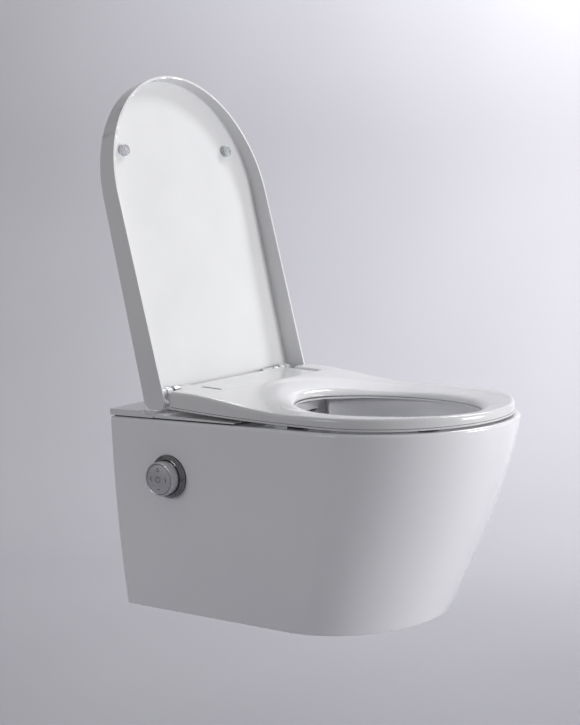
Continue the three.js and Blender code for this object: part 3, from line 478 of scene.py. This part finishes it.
def seat_plan(inset):
    """Quads of the seat's plan, drawn in by inset, and its outer and inner loops in order."""
    half, rear_y = SEAT["half"] - inset, -NOTCH["front"] - inset
    arm_in, arm_end = NOTCH["half"] + inset, -SEAT["rear"] - inset
    straight, nose = SEAT["straight"], SEAT["nose"] - inset
    sides = [rear_y + (-straight - rear_y) * i / 9 for i in range(9)]
    arcs = [math.pi * i / 36 for i in range(37)]
    ring = [(-half, y) for y in sides]
    ring += [(-half * math.cos(a), -straight - (nose - straight) * math.sin(a)) for a in arcs]
    ring += [(half, y) for y in reversed(sides)]
    last_side = len(ring) - 1
    arm = [half + (arm_in - half) * share for share in (0.05, 0.3, 0.65, 0.95, 1)]
    front = [arm_in - 2 * arm_in * i / 18 for i in range(1, 18)]
    ring += [(x, rear_y) for x in (*arm, *front, *(-x for x in reversed(arm)))]
    n, rows = len(ring), 14
    points, faces = [], []
    for r in range(rows + 1):
        u = r / rows
        for x, y in ring:
            angle = math.atan2((y - HOLE["y"]) / (205 * MM), x / (183 * MM))
            hx = (HOLE["half_width"] + 13 * MM) * math.cos(angle)
            hy = HOLE["y"] + (HOLE["half_length"] + 13 * MM) * math.sin(angle)
            points.append((x + (hx - x) * u, y + (hy - y) * u))
    faces += [(r * n + i, r * n + (i + 1) % n, (r + 1) * n + (i + 1) % n, (r + 1) * n + i)
              for r in range(rows) for i in range(n)]
    inner = [rows * n + i for i in range(n)]
    outer = list(range(last_side + 1))
    right = list(range(last_side, last_side + 6))
    left = [*range(n - 5, n), 0]

    def grow_arm(columns):
        """Rows of quads from the ring's rear edge to the arm's end; returns the columns' vertices."""
        lines = [list(columns)]
        for share in (0.04, 0.2, 0.4, 0.6, 0.8, 0.96, 1):
            y = rear_y + (arm_end - rear_y) * share
            lines.append([len(points) + j for j in range(len(columns))])
            points.extend((points[c][0], y) for c in columns)
            faces.extend((lines[-2][j], lines[-2][j + 1], lines[-1][j + 1], lines[-1][j])
                         for j in range(len(columns) - 1))
        return lines

    right_lines, left_lines = grow_arm(right), grow_arm(left)
    outer += [line[0] for line in right_lines[1:]] + right_lines[-1][1:-1]
    outer += [line[-1] for line in reversed(right_lines[1:])]
    outer += list(range(last_side + 5, n - 4))
    outer += [line[0] for line in left_lines[1:]] + left_lines[-1][1:-1]
    outer += [line[-1] for line in reversed(left_lines[1:])]
    return points, faces, outer, inner


def outward(points, loop):
    """Mitred outward directions of a closed loop."""
    area = sum(points[a][0] * points[b][1] - points[b][0] * points[a][1]
               for a, b in zip(loop, loop[1:] + loop[:1]))
    turn = 1 if area > 0 else -1
    found = []
    for i, v in enumerate(loop):
        before, here, after = (Vector(points[j]) for j in (loop[i - 1], v, loop[(i + 1) % len(loop)]))
        a, b = (here - before).normalized(), (after - here).normalized()
        normals = [Vector((d.y, -d.x)) * turn for d in (a, b)]
        mean = (normals[0] + normals[1]).normalized()
        found.append(mean / max(0.5, mean.dot(normals[0])))
    return found


def seat_shell():
    """The one-piece upper moulding: dished top, rounded rim, bevelled hole."""
    plan, quads, outer, inner = seat_plan(SEAT_EDGE)
    out_way = outward(plan, outer)
    in_way = [-w for w in outward(plan, inner)]
    points = [(x, y, seat_top(x, y)) for x, y in plan]
    faces = [list(q) for q in quads]
    floor_start = len(points)
    points += [(x, y, seat_under(y) + FLOOR) for x, y in plan]
    faces += [[floor_start + v for v in reversed(q)] for q in quads]

    def skirt(loop, profile):
        """Strips from the top plan's loop down to the floor's, through profile(i, step) points."""
        previous = list(loop)
        steps = profile(0, None)
        for step in range(steps):
            row = [len(points) + i for i in range(len(loop))]
            points.extend(profile(i, step) for i in range(len(loop)))
            faces.extend([previous[i], previous[(i + 1) % len(loop)], row[(i + 1) % len(loop)], row[i]]
                         for i in range(len(loop)))
            previous = row
        faces.extend([previous[i], previous[(i + 1) % len(loop)], floor_start + loop[(i + 1) % len(loop)],
                      floor_start + loop[i]] for i in range(len(loop)))

    def rim(i, step):
        """Quarter round over the edge, the side wall, and a small turn under it."""
        rounds = [math.radians(a) for a in (22.5, 45, 67.5, 90)]
        if step is None:
            return len(rounds) + 3
        x, y = plan[outer[i]]
        low, top = seat_under(y) + FLOOR, seat_top(x, y)
        radius = min(SEAT_EDGE, 0.45 * (top - low))
        if step < len(rounds):
            a = rounds[step]
            shift, z = SEAT_EDGE * math.sin(a), top - radius * (1 - math.cos(a))
        else:
            shift, z = [(SEAT_EDGE, low + 2.2 * MM), (SEAT_EDGE, low + 0.6 * MM),
                        (SEAT_EDGE - 0.5 * MM, low)][
                step - len(rounds)]
        way = out_way[i]
        return (x + way.x * shift, y + way.y * shift, z)

    def hole_edge(i, step):
        """A long bevel down into the hole, then its upright lip."""
        slope = [(3.5, 1.2), (7.5, 3.6), (10.5, 6.4), (12.3, 9.0), (13, 11.0)]
        if step is None:
            return len(slope) + 1
        x, y = plan[inner[i]]
        low, top = seat_under(y) + FLOOR, seat_top(x, y)
        reach = min(1.0, (top - low - 1.0 * MM) / (11 * MM))
        on_slope = step < len(slope)
        shift, drop = (slope[step][0] * MM, slope[step][1] * MM * reach) if on_slope else (13 * MM, None)
        z = low if drop is None else top - drop
        way = in_way[i]
        return (x + way.x * shift, y + way.y * shift, z)

    skirt(outer, rim)
    skirt(inner, hole_edge)
    made = new_mesh("seat", points, faces)
    smooth = made.modifiers.new("smooth", "SUBSURF")
    smooth.levels = smooth.render_levels = 2
    bake(made)
    hollow = rod("hollow", (-0.2, HINGE.y, HINGE.z), (0.2, HINGE.y, HINGE.z), SEAT["rear_round"], 128)
    combine(made, "DIFFERENCE", hollow)
    return finish_piece(made, ["seat_top_shell"], "seat", "white_gloss", sharp=60)


seat_shell()

# ---------------------------------------------------------------- lid
OPEN = -math.radians(JOINTS["lid_hinge"]["range_deg"][0])
LID = {"half": 188.3, "straight": 308, "nose": 502.9, "back": 14.1, "plate": 3.5, "flange": 3.5,
       "rear_depth": 39.7, "nose_depth": 24.4, "heel": 17, "toe": 29.5}


def arc(radius, start, end, steps=24):
    """Points round the hinge axis, in degrees from +Y towards +Z."""
    return [(radius * math.cos(a), radius * math.sin(a))
            for a in (math.radians(start + (end - start) * i / steps) for i in range(steps + 1))]


def in_mm(outline):
    return [(u * MM, v * MM) for u, v in outline]


def foot_end(lip):
    """Side view of the flanges behind the axis: round heel, sole level when open, round toe."""
    lean = OPEN - math.pi / 2
    heel = [(5 + u, LID["back"] - LID["heel"] + v) for u, v in arc(LID["heel"], 90, math.degrees(lean))]
    y, z = heel[-1]
    toward = y * math.sin(lean) - z * math.cos(lean)
    sole = math.sqrt(toward ** 2 - y ** 2 - z ** 2 + LID["toe"] ** 2) - toward
    start = math.atan2(z - sole * math.cos(lean), y + sole * math.sin(lean))
    toe = arc(LID["toe"], math.degrees(start), math.degrees(math.asin(lip / LID["toe"])), 16)
    return heel + toe + [(0, lip)]


def lid_shell():
    """Built closed, with the hinge axis at the origin, then swung open."""
    back, nose = LID["back"], LID["nose"]
    lip = back - LID["rear_depth"]
    slope = (LID["rear_depth"] - LID["nose_depth"]) / nose
    reach = 30
    side = [(-nose - 20, back), *foot_end(lip), (-nose - 20, lip + slope * (nose + 20))]
    body = prism("lid", in_mm(d_outline(LID["half"], LID["straight"], nose, -reach, 128)), "Z", -0.05, 0.05)
    combine(body, "INTERSECT", prism("lid_side", in_mm(side), "X", -0.3, 0.3))
    half = LID["half"] - LID["flange"]
    room_rings = []
    for drop, inset in ((-60, 0), (-3, 0), (-1.5, 0.4), (-0.4, 1.5), (0, 3)):
        outline = d_outline(half - inset, LID["straight"], nose - LID["flange"] - inset, -0.3, 128)
        room_rings.append([(x * MM, y * MM, (back - LID["plate"] + drop) * MM) for x, y in outline])
    combine(body, "DIFFERENCE", loft("lid_room", room_rings))
    plate = back - LID["plate"]
    under_wrap = [(-2, -60), (-2, plate), *arc(plate, 90, 12), (reach + 9, 2.2), (reach + 9, -60)]
    over_wrap = [(0, back + 9), *arc(back, 90, 8), (reach + 9, 2.0), (reach + 9, back + 9)]
    for outline in (under_wrap, over_wrap):
        combine(body, "DIFFERENCE", prism("wrap", in_mm(outline), "X",
                                          -half * MM, half * MM))
    combine(body, "DIFFERENCE", *(block("window", (s * 139.5 * MM - 18.5 * MM, -1 * MM, 1 * MM),
                                        (s * 139.5 * MM + 18.5 * MM, 40 * MM, 20 * MM)) for s in (-1, 1)))
    for s in (-1, 1):
        lug = rod("lug", (s * 158 * MM, 0, 0), (s * 170 * MM, 0, 0), 8 * MM)
        web = block("web", (s * 164 * MM - 6 * MM, -8 * MM, 0),
                    (s * 164 * MM + 6 * MM, 8 * MM, (back - 1) * MM))
        combine(body, "UNION", combine(lug, "UNION", web))
        combine(body, "DIFFERENCE", rod("pin", (s * 150 * MM, 0, 0), (s * 180 * MM, 0, 0), 4.3 * MM))
    made = finish_piece(body, ["lid_shell"], "lid", "white_gloss", 0.9 * MM, 3, 30, clean=True)
    made.data.transform(Matrix.Translation(HINGE) @ Matrix.Rotation(-OPEN, 4, "X"))
    return made


STUD_HALF, STUD_R, RING_R, CORE_R, RING_SUNK = 4.1 * MM, 8.8 * MM, 6.4 * MM, 4.2 * MM, 1.4 * MM


def lid_bumpers():
    """Clear studs with a sunk ring in the face, square to the open lid's inner face."""
    out = Vector((0, -math.cos(OPEN - math.pi / 2), math.sin(OPEN - math.pi / 2)))
    for name in ("lid_bumper_left", "lid_bumper_right"):
        low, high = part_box(name)
        middle = (Vector(low) + Vector(high)) / 2
        face = middle + out * STUD_HALF
        stud = rod(name, middle - out * STUD_HALF, face, STUD_R, 64)
        ring = rod("ring", face - out * RING_SUNK, face + out * 1 * MM, RING_R, 64)
        core = rod("core", face - out * 2 * MM, face + out * 2 * MM, CORE_R, 64)
        combine(stud, "DIFFERENCE", combine(ring, "DIFFERENCE", core))
        finish_piece(stud, [name], "lid", "clear_silicone", 0.7 * MM)


lid_shell()
lid_bumpers()

# ---------------------------------------------------------------- control knob
KNOB = Vector(JOINTS["knob_turn"]["pos_m"])


def turned(name, profile, nodes, body, slot, steps=96):
    """A solid turned about the knob's axis from (x, radius) pairs; a radius of 0 closes it."""
    points, faces, rows = [], [], []
    for x, radius in profile:
        if radius:
            rows.append([len(points) + i for i in range(steps)])
            points += [(x, KNOB.y + radius * math.cos(a), KNOB.z + radius * math.sin(a))
                       for a in (2 * math.pi * i / steps for i in range(steps))]
        else:
            rows.append([len(points)] * steps)
            points.append((x, KNOB.y, KNOB.z))
    for a, b in zip(rows, rows[1:]):
        for i in range(steps):
            j = (i + 1) % steps
            face = [a[i], a[j], b[j], b[i]]
            faces.append([v for k, v in enumerate(face) if v != face[k - 1]])
    return finish_piece(new_mesh(name, points, faces), nodes, body, slot, sharp=28)


def rounded(profile, radius, steps=4):
    """A profile of (x, r) with each inner corner rounded where it is longer than the rounding."""
    out = [profile[0]]
    for before, here, after in zip(profile, profile[1:], profile[2:]):
        a, b = Vector(before) - Vector(here), Vector(after) - Vector(here)
        r = min(radius, a.length * 0.45, b.length * 0.45)
        start, end = Vector(here) + a.normalized() * r, Vector(here) + b.normalized() * r
        out += [tuple(start.lerp(Vector(here), t).lerp(Vector(here).lerp(end, t), t))
                for t in (k / steps for k in range(steps + 1))]
    return out + [profile[-1]]


def knob():
    plate_low, plate_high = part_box("knob_escutcheon")
    ring_low, ring_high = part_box("knob_ring")
    button_low, button_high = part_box("knob_button")
    wall, plate_r = plate_high[0], (plate_high[1] - plate_low[1]) / 2
    ring_r, face_r = (ring_high[1] - ring_low[1]) / 2, (button_high[1] - button_low[1]) / 2
    out = lambda d: wall - d * MM
    plate = [(out(0), 20 * MM), (out(0), plate_r), (out(5.0), plate_r), (out(8.7), plate_r - 4.6 * MM),
             (out(8.7), 26.8 * MM), (out(2.7), 26.8 * MM), (out(2.7), 20 * MM), (out(0), 20 * MM)]
    turned("escutcheon", rounded(plate, 1.2 * MM), ["knob_escutcheon"], "pan", "chrome")
    top = ring_low[0]
    shell = [(ring_high[0], 0), (ring_high[0], 4 * MM), (out(11.7), 4 * MM), (out(11.7), 22 * MM),
             (out(4.7), 22 * MM),
             (out(4.7), ring_r), (top, ring_r), (top, face_r + 0.5 * MM), (out(13.7), face_r + 0.5 * MM),
             (out(13.7), 0)]
    turned("turning_ring", rounded(shell, 0.9 * MM), ["knob_ring"], "knob", "satin_metal")
    dome = [(button_low[0] + 1.1 * MM * t * t, face_r * t * 0.96) for t in (0.25, 0.5, 0.75, 1)]
    button = [(button_low[0], 0), *dome, (button_low[0] + 2.0 * MM, face_r),
              (button_high[0], face_r), (button_high[0], 0)]
    turned("push_face", button, ["knob_button"], "button", "satin_metal")
    return button_low[0], face_r


face_x, face_r = knob()


def icon(name, strokes, width, thickness=0.12 * MM):
    """A printed mark on the push face from open strokes of (across, up) points in millimetres."""
    points, faces = [], []
    for stroke in strokes:
        for a, b in zip(stroke, stroke[1:]):
            a, b = Vector(a) * MM, Vector(b) * MM
            way = (b - a).normalized() * width / 2
            side = Vector((-way.y, way.x))
            corners = [a - way + side, a - way - side, b + way - side, b + way + side]
            start = len(points)
            for lift in (0, thickness):
                for c in corners:
                    share = c.length / face_r
                    x = face_x + 1.1 * MM * (share / 0.96) ** 2 - lift + 0.04 * MM
                    points.append((x, KNOB.y - c.x, KNOB.z + c.y))
            faces += [[start + k for k in f] for f in
                      ((0, 1, 2, 3), (7, 6, 5, 4), (0, 4, 5, 1), (1, 5, 6, 2), (2, 6, 7, 3), (3, 7, 4, 0))]
    made = new_mesh(name, points, faces)
    made.data.materials.append(LOOKS["tinted_plastic"])
    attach(made, "button")


def circle(cx, cy, r, start=0, end=360, steps=20):
    return [(cx + r * math.cos(a), cy + r * math.sin(a))
            for a in (math.radians(start + (end - start) * i / steps) for i in range(steps + 1))]


def knob_icons():
    """Generic marks: a drop above, arrows at the sides, a bar below, and the power sign in the middle."""
    drop = [(0, 17.4), *circle(0, 13.6, 1.7, 35, -215), (0, 17.4)]
    icon("mark_drop", [drop], 0.7 * MM)
    icon("mark_left", [[(-13.6, 3.2), (-15.2, 0), (-13.6, -3.2)]], 0.9 * MM)
    icon("mark_right", [[(13.6, 3.2), (15.2, 0), (13.6, -3.2)]], 0.9 * MM)
    icon("mark_bar", [[(-2.2, -15.2), (2.2, -15.2)]], 0.9 * MM)
    icon("mark_power", [circle(0, 0, 4.4, 120, 420), [(0, 1.2), (0, 5.6)]], 0.7 * MM)


knob_icons()


# ---------------------------------------------------------------- studio
CAMERA = {"azimuth": math.radians(-54.28), "elevation": math.radians(6.71), "roll": math.radians(-2.09),
          "place": (-1.7298, -1.4565, 0.4207), "lens": 67.68}
ACROSS = Vector((math.cos(CAMERA["azimuth"]), math.sin(CAMERA["azimuth"]), 0))  # to the picture's right
AHEAD = Vector((-math.sin(CAMERA["azimuth"]), math.cos(CAMERA["azimuth"]), 0))  # away from the camera


def spot(across, ahead, up):
    """A place in the studio, from the object's middle."""
    return ACROSS * across + AHEAD * ahead + Vector((0, -0.3, up))


def backdrop():
    """A pale seamless sweep: floor, curve and wall."""
    floor_z = cad_box[0][2] - 0.34
    bend, near, wall = 1.2, -3.4, 1.5
    profile = [(near, floor_z)]
    profile += [(wall + bend * math.sin(a), floor_z + bend * (1 - math.cos(a)))
                for a in (math.radians(d) for d in range(0, 91, 5))]
    profile += [(wall + bend, 5.0)]
    points = [ACROSS * x + AHEAD * ahead + Vector((0, 0, z)) for x in (-7, 7) for ahead, z in profile]
    n = len(profile)
    sweep = new_mesh("sweep", points, [[i, i + 1, n + i + 1, n + i] for i in range(n - 1)])
    sweep.data.shade_smooth()
    paper = Shader("paper").set(Roughness=0.9)
    paper.tint(paper.noise(1.2), (0.40, 0.396, 0.428), (0.42, 0.416, 0.448))
    sweep.data.materials.append(paper.material)


def softbox(name, place, aim, size, power):
    light = bpy.data.lights.new(name, "AREA")
    light.shape = "RECTANGLE"
    light.size, light.size_y = size
    light.energy = power
    lamp = bpy.data.objects.new(name, light)
    lamp.location = place
    lamp.rotation_euler = (aim - place).to_track_quat("-Z", "Y").to_euler()
    bpy.context.scene.collection.objects.link(lamp)


def studio():
    """A wide key and a front light at the right, weak light at the side and above, two on the backdrop."""
    middle = spot(0, 0, 0.1)
    softbox("key", spot(2.6, 0.35, 0.5), middle, (2.6, 2.4), 9)
    softbox("front", spot(2.4, -0.85, 0.4), middle, (1.0, 0.9), 40)
    softbox("side_box", spot(-1.9, -1.2, 0.6), middle, (0.6, 0.3), 5)
    softbox("top", spot(0.2, 0.2, 2.3), middle, (1.6, 1.2), 1.5)
    softbox("wall", spot(1.6, 1.4, 2.6), spot(0.1, 2.7, 2.0), (1.2, 1.2), 135)
    softbox("wall_right", spot(2.0, 1.2, 0.7), spot(1.6, 2.6, 0.0), (1.0, 0.8), 22)
    world = bpy.data.worlds.new("room")
    world.use_nodes = True
    world.node_tree.nodes["Background"].inputs["Color"].default_value = (0.97, 0.97, 1, 1)
    world.node_tree.nodes["Background"].inputs["Strength"].default_value = 0.27
    bpy.context.scene.world = world
    bpy.context.scene.view_settings.view_transform = "Standard"


def camera():
    """The camera, from its azimuth and elevation about the object and its small roll."""
    az, el, roll = CAMERA["azimuth"], CAMERA["elevation"], CAMERA["roll"]
    back = Vector((math.sin(az) * math.cos(el), -math.cos(az) * math.cos(el), math.sin(el)))
    right = (-back).cross(Vector((0, 0, 1))).normalized()
    up = right.cross(-back)
    rolled = (right * math.cos(roll) + up * math.sin(roll), up * math.cos(roll) - right * math.sin(roll))
    axes = Matrix((*rolled, back))
    data = bpy.data.cameras.new("camera")
    data.lens = CAMERA["lens"]
    made = bpy.data.objects.new("camera", data)
    made.matrix_world = Matrix.Translation(CAMERA["place"]) @ axes.transposed().to_4x4()
    bpy.context.scene.collection.objects.link(made)
    bpy.context.scene.camera = made


camera()
backdrop()
studio()
